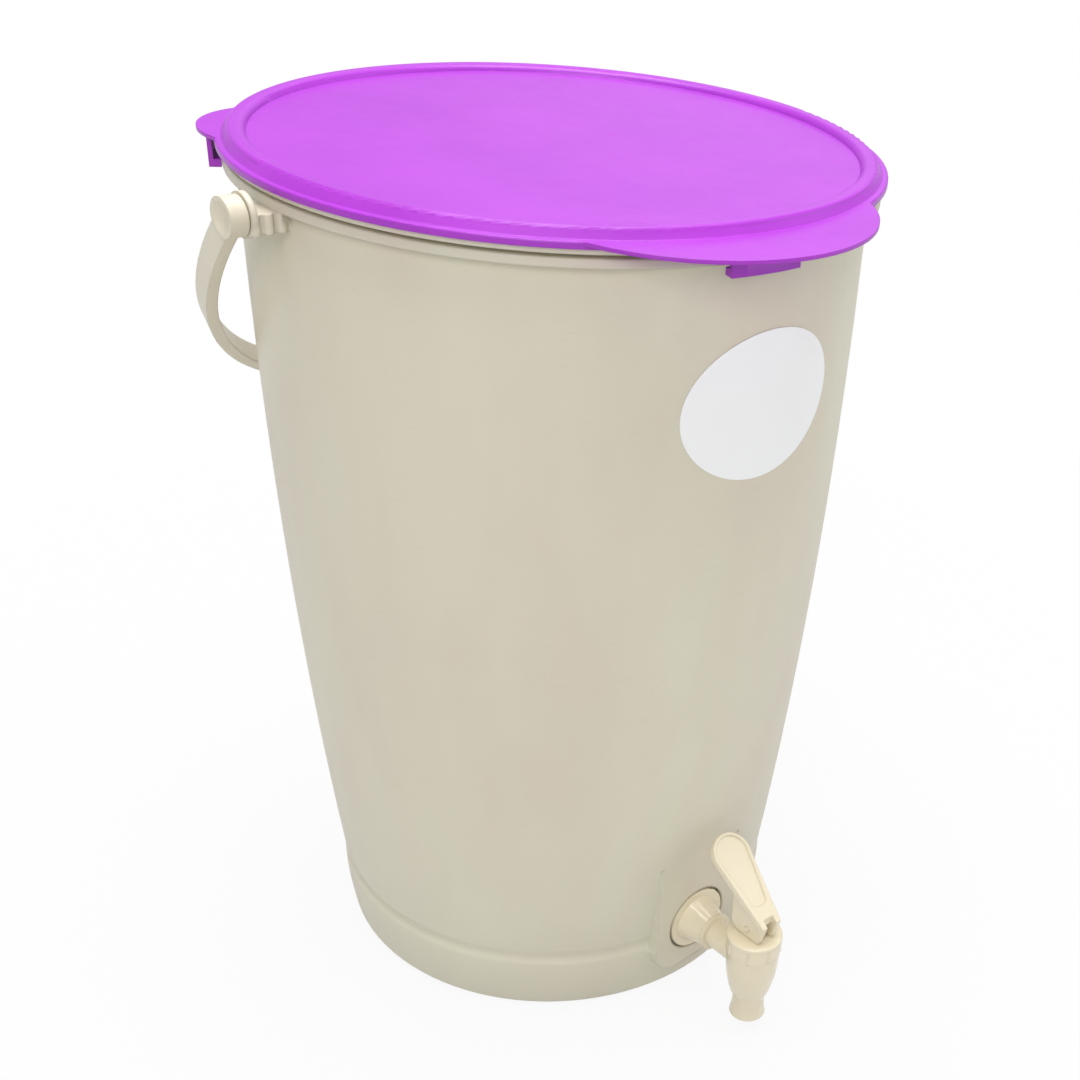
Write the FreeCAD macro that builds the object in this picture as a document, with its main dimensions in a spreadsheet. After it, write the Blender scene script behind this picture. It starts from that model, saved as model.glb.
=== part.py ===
import FreeCAD, Part
import math
import os
import Sketcher

# Indoor composting bucket: tapered shell, clip-on lid, bail handle, false floor and drain tap.
# Origin at the centre of the foot, +Z up, front (tap, label, lid tab) towards -Y, millimetres.

SIZES = {
    # bucket shell
    "wall": 2.6,
    "root_depth": 7.8,
    "cut_margin": 1.0,
    "floor_thickness": 3.0,
    "foot_height": 3.0,
    "foot_ring_width": 4.0,
    "foot_hub_radius": 12.0,
    "foot_rib": 2.0,
    "foot_rib_count": 6,
    "base_edge_round": 5.5,
    "base_radius": 113.8,
    "band_flare": 0.6,
    "crease_height": 37.0,
    "crease_rise": 5.0,
    "crease_step": 2.3,
    "rim_radius": 137.2,
    "wall_bow": 5.4,
    "lip_level": 403.3,
    "lip_height": 3.6,
    "lip_overhang": 5.2,
    "lip_draft": 0.9,
    "neck_step": 0.6,
    "neck_height": 7.1,
    "bead_gap": 1.7,
    "bead_inset": 0.3,
    "bead_clearance": 0.5,
    # handle pivots on the bucket
    "pivot_drop": 1.2,
    "boss_standoff": 16.8,
    "boss_half_width": 8.5,
    "boss_core_half_width": 6.7,
    "boss_depth_below_pivot": 6.5,
    "boss_plate": 2.5,
    "boss_plate_radius": 8.9,
    "column_thickness": 4.0,
    "column_pitch": 5.6,
    "column_count": 3,
    "peg_radius": 4.2,
    "peg_length": 4.2,
    # tap pad on the bucket
    "pad_proud": 2.5,
    "pad_half_width": 27.0,
    "pad_below_tap": 26.5,
    "pad_above_tap": 45.0,
    "pad_corner": 14.0,
    "recess_clearance": 1.4,
    "recess_depth": 4.0,
    "tap_hole_clearance": 0.4,
    "inner_seat_inset": 1.8,
    "inner_seat_radius": 20.6,
    # lid
    "lid_overhang": 2.2,
    "lid_thickness": 2.0,
    "lid_turn": -6.0,
    "lid_skirt": 2.9,
    "lid_skirt_wall": 1.7,
    "lid_edge_round": 0.8,
    "panel_drop": 3.1,
    "panel_inset": 0.8,
    "ridge_wall": 1.6,
    "ridge_height": 4.1,
    "ridge_lean": 2.0,
    "ridge_round_width": 2.4,
    "ridge_round_depth": 1.6,
    "crest_width": 1.5,
    "plug_clearance": 0.5,
    "plug_depth": 6.5,
    "neck_clearance": 0.5,
    "tab_swell": 27.9,
    "tab_half_angle": 30.0,
    "tab_thickness": 1.6,
    "ear_margin": 5.0,
    "ear_half_angle": 11.0,
    "tab_root": 2.0,
    "clip_count": 3,
    "clip_angle": 13.2,
    "clip_wall": 2.0,
    "clip_hollow": 3.4,
    "clip_drop": 3.2,
    "clip_clearance": 0.4,
    "seal_thickness": 1.8,
    "seal_clearance": 0.05,
    "seal_seat_gap": 0.35,
    # handle
    "button_radius": 8.0,
    "button_length": 7.5,
    "button_rim": 1.6,
    "button_dish": 2.2,
    "pivot_clearance": 0.05,
    "side_clearance": 0.5,
    "peg_end_clearance": 0.4,
    "bail_thickness": 5.0,
    "bail_width": 10.5,
    "bail_inset": 0.5,
    "bail_reach": 191.6,
    "bail_root": 6.0,
    "bail_arcs": 9,
    "handle_droop": 43.5,
    # strainer
    "strainer_above_nut": 6.5,
    "strainer_thickness": 2.5,
    "strainer_clearance": 1.5,
    "strainer_skirt": 6.0,
    "skirt_gap_half_width": 16.0,
    "strainer_hole_radius": 2.5,
    "hole_pitch": 14.0,
    "hole_rings": 7,
    "first_ring_holes": 6,
    "leg_count": 4,
    "leg_radius": 4.0,
    "leg_ring": 4.5,
    "leg_clearance": 0.3,
    # label
    "label_level": 338.5,
    "label_width": 84.0,
    "label_height": 66.0,
    "label_arcs": 10,
    "label_thickness": 0.4,
    "label_gap": 0.05,
    "label_margin": 7.6,
    "label_band_angle": 60.0,
    # tap
    "shank_radius": 8.3,
    "shank_bore_radius": 5.4,
    "shank_spare": 3.1,
    "tap_flange_radius": 17.2,
    "tap_flange": 2.6,
    "cone_root_radius": 13.2,
    "cone_end_radius": 9.0,
    "cone_length": 13.0,
    "collar_radius": 10.2,
    "collar_length": 2.2,
    "tube_radius": 7.7,
    "tube_length": 27.0,
    "chamber_inset": 1.1,
    "chamber_belly": 12.9,
    "chamber_neck_wall": 1.9,
    "shoulder_rise": 0.5,
    "screw_neck_radius": 12.1,
    "screw_neck_height": 6.2,
    "seat_depth": 9.5,
    "seat_hole_radius": 5.0,
    "outlet_neck_drop": 20.0,
    "outlet_neck_radius": 8.4,
    "bulb_end_radius": 10.0,
    "bulb_end_rise": 0.9,
    "outlet_drop": 34.5,
    "outlet_radius": 9.4,
    "outlet_bore_radius": 7.4,
    "outlet_bore_depth": 12.0,
    "outlet_cone": 3.0,
    "outlet_clearance": 8.0,
    "bonnet_wall": 2.15,
    "bonnet_height": 11.0,
    "bonnet_top": 2.4,
    "bonnet_edge_round": 1.2,
    "bonnet_clearance": 0.15,
    "bonnet_gap": 0.3,
    "bonnet_rim": 3.2,
    "bonnet_flute_count": 8,
    "bonnet_flute_radius": 1.1,
    "bonnet_flute_depth": 0.7,
    "stem_radius": 2.8,
    "stem_clearance": 0.08,
    "stem_head_radius": 2.9,
    "cup_radius": 6.8,
    "cup_foot": 2.8,
    "cup_stalk_radius": 4.8,
    "cup_wall": 1.3,
    "cup_seat_gap": 0.1,
    "pin_radius": 1.5,
    "pin_height": 5.0,
    "pin_clearance": 0.05,
    "cheek_thickness": 3.1,
    "slot_clearance": 0.3,
    "lever_gap": 0.2,
    "toe_radius": 2.5,
    "toe_reach": 6.5,
    "lever_front_reach": 11.4,
    "lever_front_height": 11.8,
    "heel_reach": 11.5,
    "heel_height": 6.7,
    "heel_flat": 4.5,
    "paddle_angle": 40.0,
    "paddle_length": 52.0,
    "paddle_end_radius": 11.0,
    "paddle_thickness": 4.0,
    "paddle_border": 1.6,
    "paddle_dish": 1.2,
    "paddle_dish_start": 13.0,
    "paddle_notch": 4.5,
    "washer_inner_gap": 0.3,
    "outer_washer_radius": 16.6,
    "outer_washer": 1.6,
    "inner_washer_radius": 14.5,
    "inner_washer": 2.2,
    "nut_length": 7.0,
    "nut_radius": 15.0,
    "nut_clearance": 0.05,
}

doc = FreeCAD.newDocument("composting_bucket")
sheet = doc.addObject("Spreadsheet::Sheet", "Sizes")
for line, (name, number) in enumerate(SIZES.items(), 1):
    sheet.set(f"A{line}", name)
    sheet.set(f"B{line}", str(number))
    sheet.setAlias(f"B{line}", name)
doc.recompute()


class Size:
    """A length, angle or count with the sheet formula that it follows."""

    def __init__(self, number, formula=None):
        self.number = number
        self.formula = formula if formula else f"{number:.6g}"

    def __add__(self, other):
        other = as_size(other)
        return Size(self.number + other.number, f"({self.formula} + {other.formula})")

    def __radd__(self, other):
        return as_size(other) + self

    def __sub__(self, other):
        other = as_size(other)
        return Size(self.number - other.number, f"({self.formula} - {other.formula})")

    def __rsub__(self, other):
        return as_size(other) - self

    def __mul__(self, other):
        other = as_size(other)
        return Size(self.number * other.number, f"({self.formula} * {other.formula})")

    __rmul__ = __mul__

    def __truediv__(self, other):
        other = as_size(other)
        return Size(self.number / other.number, f"({self.formula} / {other.formula})")

    def __neg__(self):
        return Size(-self.number, f"(0 - {self.formula})")


def as_size(value):
    return value if isinstance(value, Size) else Size(value)


def sine(angle):
    return Size(math.sin(math.radians(angle.number)), f"sin({angle.formula})")


def cosine(angle):
    return Size(math.cos(math.radians(angle.number)), f"cos({angle.formula})")


def root(value):
    return Size(math.sqrt(value.number), f"sqrt({value.formula})")


class Sheet:
    """The driving dimensions by name, each as a Size."""

    def __getattr__(self, name):
        return Size(SIZES[name], f"Sizes.{name}")


s = Sheet()


def bind(item, prop, size):
    item.setExpression(prop, as_size(size).formula)


def new_body(name, turn=-90.0, rise=0):
    """A body whose local +X points to the front of the bucket, raised to a level."""
    body = doc.addObject("PartDesign::Body", name)
    body.Label = name
    body.Placement.Rotation = FreeCAD.Rotation(FreeCAD.Vector(0, 0, 1), turn)
    bind(body, "Placement.Base.z", rise)
    return body


def new_sketch(body, name, plane, offset=0):
    """A sketch on one of the body's origin planes, moved along that plane's normal."""
    sketch = body.newObject("Sketcher::SketchObject", name)
    support = [item for item in body.Origin.OriginFeatures if item.Role == plane][0]
    sketch.AttachmentSupport = [(support, "")]
    sketch.MapMode = "FlatFace"
    bind(sketch, "AttachmentOffset.Base.z", offset)
    return sketch


def fix_point(sketch, edge, end, corner):
    """Holds one end of an edge at a place given by two sizes."""
    for kind, size in (("DistanceX", corner[0]), ("DistanceY", corner[1])):
        size = as_size(size)
        index = sketch.addConstraint(Sketcher.Constraint(kind, -1, 1, edge, end, size.number))
        bind(sketch, f"Constraints[{index}]", size)


def vector(corner):
    return FreeCAD.Vector(as_size(corner[0]).number, as_size(corner[1]).number, 0)


def outline(sketch, corners, bows=None):
    """A closed outline of lines; bows gives a point that the edge after a corner arches through."""
    bows = bows or {}
    ends = []
    for index, corner in enumerate(corners):
        start, finish = vector(corner), vector(corners[(index + 1) % len(corners)])
        if index in bows:
            middle = vector(bows[index])
            leftward = (middle - start).cross(finish - middle).z > 0
            arc = Part.Arc(start, middle, finish) if leftward else Part.Arc(finish, middle, start)
            edge = sketch.addGeometry(arc)
            ends.append((edge, 1, 2) if leftward else (edge, 2, 1))
            mark = sketch.addGeometry(Part.Point(vector(bows[index])), True)
            sketch.addConstraint(Sketcher.Constraint("PointOnObject", mark, 1, edge))
            fix_point(sketch, mark, 1, bows[index])
        else:
            edge = sketch.addGeometry(Part.LineSegment(start, finish))
            ends.append((edge, 1, 2))
    for index, corner in enumerate(corners):
        edge, first, _ = ends[index]
        before, _, last = ends[index - 1]
        sketch.addConstraint(Sketcher.Constraint("Coincident", before, last, edge, first))
        fix_point(sketch, edge, first, corner)


def circle(sketch, centre, radius):
    radius = as_size(radius)
    edge = sketch.addGeometry(Part.Circle(vector(centre), FreeCAD.Vector(0, 0, 1), radius.number))
    fix_point(sketch, edge, 3, centre)
    index = sketch.addConstraint(Sketcher.Constraint("Radius", edge, radius.number))
    bind(sketch, f"Constraints[{index}]", radius)


def box_corners(low, high):
    return [(low[0], low[1]), (high[0], low[1]), (high[0], high[1]), (low[0], high[1])]


def turned(body, name, sketch, axis="V_Axis", cut=False, angle=None):
    """Revolves a sketch about one of its own axes, all the way or evenly about its plane."""
    feature = body.newObject("PartDesign::Groove" if cut else "PartDesign::Revolution", name)
    feature.Profile = sketch
    feature.ReferenceAxis = (sketch, [axis])
    if angle is not None:
        feature.Midplane = True
        bind(feature, "Angle", angle)
    sketch.Visibility = False
    return feature


def pushed(body, name, sketch, length, cut=False, backwards=False, both=False):
    """Pads or pockets a sketch; a pocket goes against the sketch's normal unless backwards."""
    feature = body.newObject("PartDesign::Pocket" if cut else "PartDesign::Pad", name)
    feature.Profile = sketch
    feature.Reversed = backwards
    feature.Midplane = both
    bind(feature, "Length", length)
    sketch.Visibility = False
    return feature


def origin_item(body, role):
    return [item for item in body.Origin.OriginFeatures if item.Role == role][0]


def around(body, name, features, count, role="Z_Axis"):
    """Repeats features evenly about one of the body's axes."""
    pattern = body.newObject("PartDesign::PolarPattern", name)
    pattern.Originals = features
    pattern.Axis = (origin_item(body, role), [""])
    pattern.Angle = 360
    bind(pattern, "Occurrences", count)
    body.Tip = pattern
    return pattern


def mirrored(body, name, features, role):
    mirror = body.newObject("PartDesign::Mirrored", name)
    mirror.Originals = features
    mirror.MirrorPlane = (origin_item(body, role), [""])
    body.Tip = mirror
    return mirror


# Levels and radii that several pieces share

band_radius = s.base_radius + s.band_flare
step_radius = band_radius + s.crease_step
step_level = s.crease_height + s.crease_rise
floor_top = s.foot_height + s.floor_thickness
lip_top = s.lip_level + s.lip_height
lip_radius = s.rim_radius + s.lip_overhang
neck_top = lip_top + s.neck_height
neck_radius = s.rim_radius + s.neck_step
neck_inner = neck_radius - s.wall
wall_middle_level = (step_level + s.lip_level) / 2
wall_middle_radius = (step_radius + s.rim_radius) / 2 + s.wall_bow

pivot_level = s.lip_level - s.pivot_drop
boss_reach = s.rim_radius + s.boss_standoff
boss_bottom = pivot_level - s.boss_depth_below_pivot

channel_top = neck_top + s.seal_seat_gap + s.seal_thickness + s.seal_clearance
ridge_top = channel_top + s.lid_thickness
flange_top = ridge_top - s.ridge_height
flange_bottom = flange_top - s.lid_thickness
bead_bottom = lip_top + s.bead_gap
bead_top = flange_bottom - s.bead_clearance
bead_radius = lip_radius - s.bead_inset
panel_top = ridge_top - s.panel_drop
lid_radius = lip_radius + s.lid_overhang
tab_reach = lid_radius + s.tab_swell
clip_reach = lip_radius + s.clip_hollow + s.clip_wall

tap_level = s.outlet_clearance + s.outlet_drop
pad_reach = step_radius + s.pad_proud
recess_floor = pad_reach - s.recess_depth
inner_seat_reach = band_radius - s.wall - s.inner_seat_inset
flange_back = recess_floor + s.outer_washer
flange_front = flange_back + s.tap_flange
cone_end = flange_front + s.cone_length
collar_end = cone_end + s.collar_length
chamber_reach = collar_end + s.tube_length
shank_inner_end = inner_seat_reach - s.inner_washer - s.nut_length - s.shank_spare

# A quarter round from point to point passes at these shares of its radius
round_share = 1 - math.sqrt(0.5)
diagonal = math.sqrt(0.5)


def wall_radius(level, offset=0):
    """Outer radius of the bowed wall at a level, on the arc through its foot, middle and rim."""
    half_height = (s.lip_level - step_level) / 2
    half_width = (s.rim_radius - step_radius) / 2
    share = (level - wall_middle_level) / half_height
    straight = (step_radius + s.rim_radius) / 2 + half_width * share
    return straight + s.wall_bow * (1 - share * share) + offset


# Bucket: one moulding, solid of revolution with pads, then hollowed

bucket = new_body("bucket_body")
shell = new_sketch(bucket, "shell_profile", "XZ_Plane")
foot_outer = s.base_radius - s.base_edge_round
outline(shell, [
    (0, s.foot_height),
    (foot_outer - s.foot_ring_width, s.foot_height),
    (foot_outer - s.foot_ring_width, 0),
    (foot_outer, 0),
    (s.base_radius, s.base_edge_round),
    (band_radius, s.crease_height),
    (step_radius, step_level),
    (s.rim_radius, s.lip_level),
    (lip_radius, s.lip_level),
    (lip_radius - s.lip_draft, lip_top),
    (neck_radius, lip_top),
    (neck_radius, bead_bottom),
    (bead_radius, bead_bottom),
    (bead_radius, bead_top),
    (neck_radius, bead_top),
    (neck_radius, neck_top),
    (0, neck_top),
], {
    3: (s.base_radius - s.base_edge_round * round_share, s.base_edge_round * round_share),
    6: (wall_middle_radius, wall_middle_level),
})
turned(bucket, "shell", shell)

hub = new_sketch(bucket, "hub_profile", "XY_Plane")
circle(hub, (0, 0), s.foot_hub_radius)
pushed(bucket, "hub", hub, s.foot_height)
rib = new_sketch(bucket, "foot_rib_profile", "XY_Plane")
outline(rib, box_corners(
    (0, -s.foot_rib / 2), (foot_outer - s.foot_ring_width / 2, s.foot_rib / 2)))
around(bucket, "foot_ribs", [pushed(bucket, "foot_rib", rib, s.foot_height)], s.foot_rib_count)

boss_core = new_sketch(bucket, "boss_core_profile", "XZ_Plane", boss_reach)
outline(boss_core, box_corners(
    (-s.boss_core_half_width, boss_bottom), (s.boss_core_half_width, s.lip_level)))
boss_depth = boss_reach - s.rim_radius + s.root_depth
boss_features = [pushed(bucket, "boss_core", boss_core, boss_depth, backwards=True)]

boss_plate = new_sketch(bucket, "boss_plate_profile", "XZ_Plane", boss_reach)
circle(boss_plate, (0, pivot_level), s.boss_plate_radius)
boss_features.append(pushed(bucket, "boss_plate", boss_plate, s.boss_plate, backwards=True))

column_end = s.boss_half_width - s.column_thickness / 2
for number in range(SIZES["column_count"]):
    column = new_sketch(bucket, f"column_profile_{number}", "XY_Plane", boss_bottom)
    column_face = boss_reach - s.column_pitch * number
    column_back = column_face - s.column_thickness
    column_middle = (column_face + column_back) / 2
    outline(column, box_corners((-column_end, column_back), (column_end, column_face)), {
        1: (s.boss_half_width, column_middle),
        3: (-s.boss_half_width, column_middle),
    })
    boss_features.append(pushed(bucket, f"column_{number}", column, s.lip_level - boss_bottom))
mirrored(bucket, "boss_pair", boss_features, "XZ_Plane")

pad = new_sketch(bucket, "tap_pad_profile", "YZ_Plane", pad_reach)
pad_bottom = tap_level - s.pad_below_tap
pad_top = tap_level + s.pad_above_tap
pad_round = s.pad_corner * round_share
outline(pad, [
    (-s.pad_half_width + s.pad_corner, pad_bottom),
    (s.pad_half_width - s.pad_corner, pad_bottom),
    (s.pad_half_width, pad_bottom + s.pad_corner),
    (s.pad_half_width, pad_top),
    (-s.pad_half_width, pad_top),
    (-s.pad_half_width, pad_bottom + s.pad_corner),
], {
    1: (s.pad_half_width - pad_round, pad_bottom + pad_round),
    5: (-s.pad_half_width + pad_round, pad_bottom + pad_round),
})
pushed(bucket, "tap_pad", pad, pad_reach - s.base_radius + s.root_depth, backwards=True)

hollow = new_sketch(bucket, "hollow_profile", "XZ_Plane")
outline(hollow, [
    (0, floor_top),
    (s.base_radius - 2 * s.wall, floor_top),
    (s.base_radius - s.wall, floor_top + s.wall),
    (band_radius - s.wall, s.crease_height),
    (step_radius - s.wall, step_level),
    (s.rim_radius - s.wall, s.lip_level),
    (neck_inner, lip_top),
    (neck_inner, neck_top + s.cut_margin),
    (0, neck_top + s.cut_margin),
], {4: (wall_middle_radius - s.wall, wall_middle_level)})
turned(bucket, "hollow", hollow, cut=True)

inner_seat = new_sketch(bucket, "inner_seat_profile", "YZ_Plane", inner_seat_reach)
circle(inner_seat, (0, tap_level), s.inner_seat_radius)
pushed(bucket, "inner_seat", inner_seat, pad_reach - inner_seat_reach)

recess = new_sketch(bucket, "recess_profile", "YZ_Plane", pad_reach)
circle(recess, (0, tap_level), s.tap_flange_radius + s.recess_clearance)
pushed(bucket, "recess", recess, s.recess_depth, cut=True)

tap_hole = new_sketch(bucket, "tap_hole_profile", "YZ_Plane", recess_floor)
circle(tap_hole, (0, tap_level), s.shank_radius + s.tap_hole_clearance)
pushed(bucket, "tap_hole", tap_hole, recess_floor - inner_seat_reach + s.wall, cut=True)

peg = new_sketch(bucket, "peg_profile", "XZ_Plane", boss_reach)
circle(peg, (0, pivot_level), s.peg_radius)
mirrored(bucket, "peg_pair", [pushed(bucket, "peg", peg, s.peg_length)], "XZ_Plane")


# Lid: dished panel, channel ridge, flange, three clips and a wide front tab

lid = new_body("lid", turn=0.0)
bind(lid, "Placement.Rotation.Angle", s.lid_turn - 90)
lid_profile = new_sketch(lid, "lid_profile", "XZ_Plane")
plug_outer = neck_inner - s.plug_clearance
plug_inner = plug_outer - s.lid_thickness
channel_outer = neck_radius + s.neck_clearance
ridge_radius = channel_outer + s.ridge_wall
ridge_foot = ridge_radius + s.ridge_lean
crest_outer = ridge_radius - s.ridge_round_width
crest_inner = crest_outer - s.crest_width
panel_radius = plug_inner - s.panel_inset
plug_bottom = flange_bottom - s.plug_depth
edge = s.lid_edge_round
outline(lid_profile, [
    (0, panel_top - s.lid_thickness),
    (plug_inner, panel_top - s.lid_thickness),
    (plug_inner, plug_bottom),
    (plug_outer, plug_bottom),
    (plug_outer, channel_top),
    (channel_outer, channel_top),
    (channel_outer, flange_bottom),
    (lid_radius - s.lid_skirt_wall, flange_bottom),
    (lid_radius - s.lid_skirt_wall, flange_top - s.lid_skirt),
    (lid_radius, flange_top - s.lid_skirt),
    (lid_radius, flange_top - edge),
    (lid_radius - edge, flange_top),
    (ridge_foot, flange_top),
    (ridge_radius, ridge_top - s.ridge_round_depth),
    (crest_outer, ridge_top),
    (crest_inner, ridge_top),
    (panel_radius, panel_top),
    (0, panel_top),
], {
    10: (lid_radius - edge * round_share, flange_top - edge * round_share),
    13: (ridge_radius - s.ridge_round_width * round_share, ridge_top - s.ridge_round_depth * round_share),
    15: (panel_radius + (crest_inner - panel_radius) * round_share, ridge_top - s.panel_drop * round_share),
})
turned(lid, "lid_disc", lid_profile)


def crescent(body, name, reach, half_angle):
    """A plate in the flange's plane that swells out from its edge to the reach."""
    plate = new_sketch(body, name + "_profile", "XY_Plane", flange_top - s.tab_thickness)
    inner = lid_radius - s.tab_root
    end_x, end_y = inner * cosine(half_angle), inner * sine(half_angle)
    outline(plate, [(end_x, -end_y), (end_x, end_y)], {0: (reach, 0), 1: (inner, 0)})
    return pushed(body, name, plate, s.tab_thickness)


ear = crescent(lid, "ear", clip_reach + s.ear_margin, s.ear_half_angle)
clip_profile = new_sketch(lid, "clip_profile", "XZ_Plane")
hook_top = s.lip_level - s.clip_clearance
hook_bottom = hook_top - s.clip_drop
hook_tip = lip_radius + s.clip_clearance
outline(clip_profile, [
    (hook_tip, hook_bottom),
    (clip_reach, hook_bottom),
    (clip_reach, flange_bottom + s.lid_thickness / 2),
    (clip_reach - s.clip_wall, flange_bottom + s.lid_thickness / 2),
    (clip_reach - s.clip_wall, hook_top),
    (hook_tip, hook_top),
])
clip = turned(lid, "clip", clip_profile, angle=s.clip_angle)
around(lid, "clip_ring", [ear, clip], s.clip_count)
crescent(lid, "tab", tab_reach, s.tab_half_angle)

lid_seal = new_body("lid_seal")
seal_profile = new_sketch(lid_seal, "seal_profile", "XZ_Plane")
seal_top = channel_top - s.seal_clearance
outline(seal_profile, box_corners(
    (plug_outer + s.seal_clearance, seal_top - s.seal_thickness),
    (channel_outer - s.seal_clearance, seal_top)))
turned(lid_seal, "seal", seal_profile)


# Handle: flat bail in its own plane, pivots on local X, loop towards local +Y and hanging at the back

handle = new_body("handle", turn=0.0, rise=pivot_level)
handle.Placement.Rotation = FreeCAD.Rotation(FreeCAD.Vector(1, 0, 0), 0)
bind(handle, "Placement.Rotation.Angle", -s.handle_droop)
button_start = boss_reach + s.side_clearance
button_end = button_start + s.button_length
bore_radius = s.peg_radius + s.pivot_clearance
bore_end = boss_reach + s.peg_length + s.peg_end_clearance
dish_radius = s.button_radius - s.button_rim
dish_bottom = button_end - s.button_dish
dish_sphere = (dish_radius * dish_radius + s.button_dish * s.button_dish) / (2 * s.button_dish)
dish_half = dish_radius / 2
dish_half_depth = dish_sphere - root(dish_sphere * dish_sphere - dish_half * dish_half)
button_profile = new_sketch(handle, "button_profile", "XY_Plane")
outline(button_profile, [
    (button_start, bore_radius),
    (bore_end, bore_radius),
    (bore_end, 0),
    (dish_bottom, 0),
    (button_end, dish_radius),
    (button_end, s.button_radius),
    (button_start, s.button_radius),
], {3: (dish_bottom + dish_half_depth, dish_half)})
button = turned(handle, "button", button_profile, axis="H_Axis")
mirrored(handle, "button_pair", [button], "YZ_Plane")

bail_inner = button_start + s.bail_inset
bail_outer = bail_inner + s.bail_thickness
bail_tip = s.bail_reach + s.bail_thickness


def ellipse_point(wide, tall, step, arcs):
    """A point on an ellipse, counted from its right end in arcs, so many to each half."""
    angle = math.pi * step / arcs
    return wide * round(math.cos(angle), 9), tall * round(math.sin(angle), 9)


arcs = SIZES["bail_arcs"]
bail_corners = [(bail_inner, s.bail_root), (bail_outer, s.bail_root)]
bail_corners += [ellipse_point(bail_outer, bail_tip, step, arcs) for step in range(1, arcs)]
bail_corners += [(-bail_outer, s.bail_root), (-bail_inner, s.bail_root)]
bail_corners += [ellipse_point(bail_inner, s.bail_reach, step, arcs) for step in range(arcs - 1, 0, -1)]
bail_bows = {}
for step in range(arcs):
    bail_bows[1 + step] = ellipse_point(bail_outer, bail_tip, step + 0.5, arcs)
    bail_bows[1 + 2 * arcs - step] = ellipse_point(bail_inner, s.bail_reach, step + 0.5, arcs)
bail_profile = new_sketch(handle, "bail_profile", "XY_Plane")
outline(bail_profile, bail_corners, bail_bows)
pushed(handle, "bail", bail_profile, s.bail_width, both=True)


# Strainer: perforated false floor on legs

strainer = new_body("strainer_plate")
strainer_level = tap_level + s.nut_radius + s.strainer_above_nut
plate_profile = new_sketch(strainer, "plate_profile", "XZ_Plane")
plate_radius = wall_radius(strainer_level - s.strainer_skirt) - s.wall - s.strainer_clearance
plate_top = strainer_level + s.strainer_thickness
skirt_bottom = strainer_level - s.strainer_skirt
outline(plate_profile, [
    (0, strainer_level),
    (plate_radius - s.strainer_thickness, strainer_level),
    (plate_radius - s.strainer_thickness, skirt_bottom),
    (plate_radius, skirt_bottom),
    (plate_radius, plate_top),
    (0, plate_top),
])
turned(strainer, "plate", plate_profile)
skirt_gap = new_sketch(strainer, "skirt_gap_profile", "YZ_Plane", plate_radius + s.wall)
outline(skirt_gap, box_corners(
    (-s.skirt_gap_half_width, skirt_bottom - s.wall), (s.skirt_gap_half_width, strainer_level)))
pushed(strainer, "skirt_gap", skirt_gap, s.root_depth, cut=True)
leg_profile = new_sketch(strainer, "leg_profile", "XY_Plane", floor_top + s.leg_clearance)
leg_place = s.hole_pitch * s.leg_ring * diagonal
circle(leg_profile, (leg_place, leg_place), s.leg_radius)
leg = pushed(strainer, "leg", leg_profile, strainer_level - floor_top)
around(strainer, "legs", [leg], s.leg_count)
for ring in range(1, SIZES["hole_rings"] + 1):
    hole_profile = new_sketch(strainer, f"hole_profile_{ring}", "XY_Plane", plate_top)
    circle(hole_profile, (s.hole_pitch * ring, 0), s.strainer_hole_radius)
    hole = pushed(strainer, f"hole_{ring}", hole_profile, s.strainer_thickness, cut=True)
    around(strainer, f"hole_ring_{ring}", [hole], s.first_ring_holes * ring)


# Label: thin oval that follows the wall

label = new_body("front_label")
label_profile = new_sketch(label, "label_profile", "XZ_Plane")
label_low = s.label_level - s.label_height / 2 - s.label_margin
label_high = s.label_level + s.label_height / 2 + s.label_margin
face = s.label_gap
back = s.label_gap + s.label_thickness
outline(label_profile, [
    (wall_radius(label_low, face), label_low),
    (wall_radius(label_low, back), label_low),
    (wall_radius(label_high, back), label_high),
    (wall_radius(label_high, face), label_high),
], {
    1: (wall_radius(s.label_level, back), s.label_level),
    3: (wall_radius(s.label_level, face), s.label_level),
})
turned(label, "label_band", label_profile, angle=s.label_band_angle)
oval = new_sketch(label, "oval_profile", "YZ_Plane", lid_radius)
outline(oval, box_corners(
    (-s.label_width, label_low - s.label_margin), (s.label_width, label_high + s.label_margin)))
label_points = []
for half_step in range(4 * SIZES["label_arcs"]):
    across, rise = ellipse_point(s.label_width / 2, s.label_height / 2, half_step / 2, SIZES["label_arcs"])
    label_points.append((across, s.label_level + rise))
outline(oval, label_points[::2], dict(enumerate(label_points[1::2])))
pushed(label, "oval_cut", oval, lid_radius, cut=True)


# Tap body: shank, flange, tube and valve chamber; local X is the distance from the bucket's axis

tap_body = new_body("tap_body", rise=tap_level)
shank_profile = new_sketch(tap_body, "shank_profile", "XZ_Plane")
outline(shank_profile, [
    (shank_inner_end, 0),
    (chamber_reach, 0),
    (chamber_reach, s.tube_radius),
    (collar_end, s.tube_radius),
    (collar_end, s.collar_radius),
    (cone_end, s.collar_radius),
    (cone_end, s.cone_end_radius),
    (flange_front, s.cone_root_radius),
    (flange_front, s.tap_flange_radius),
    (flange_back, s.tap_flange_radius),
    (flange_back, s.shank_radius),
    (shank_inner_end, s.shank_radius),
])
turned(tap_body, "shank", shank_profile, axis="H_Axis")

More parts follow.
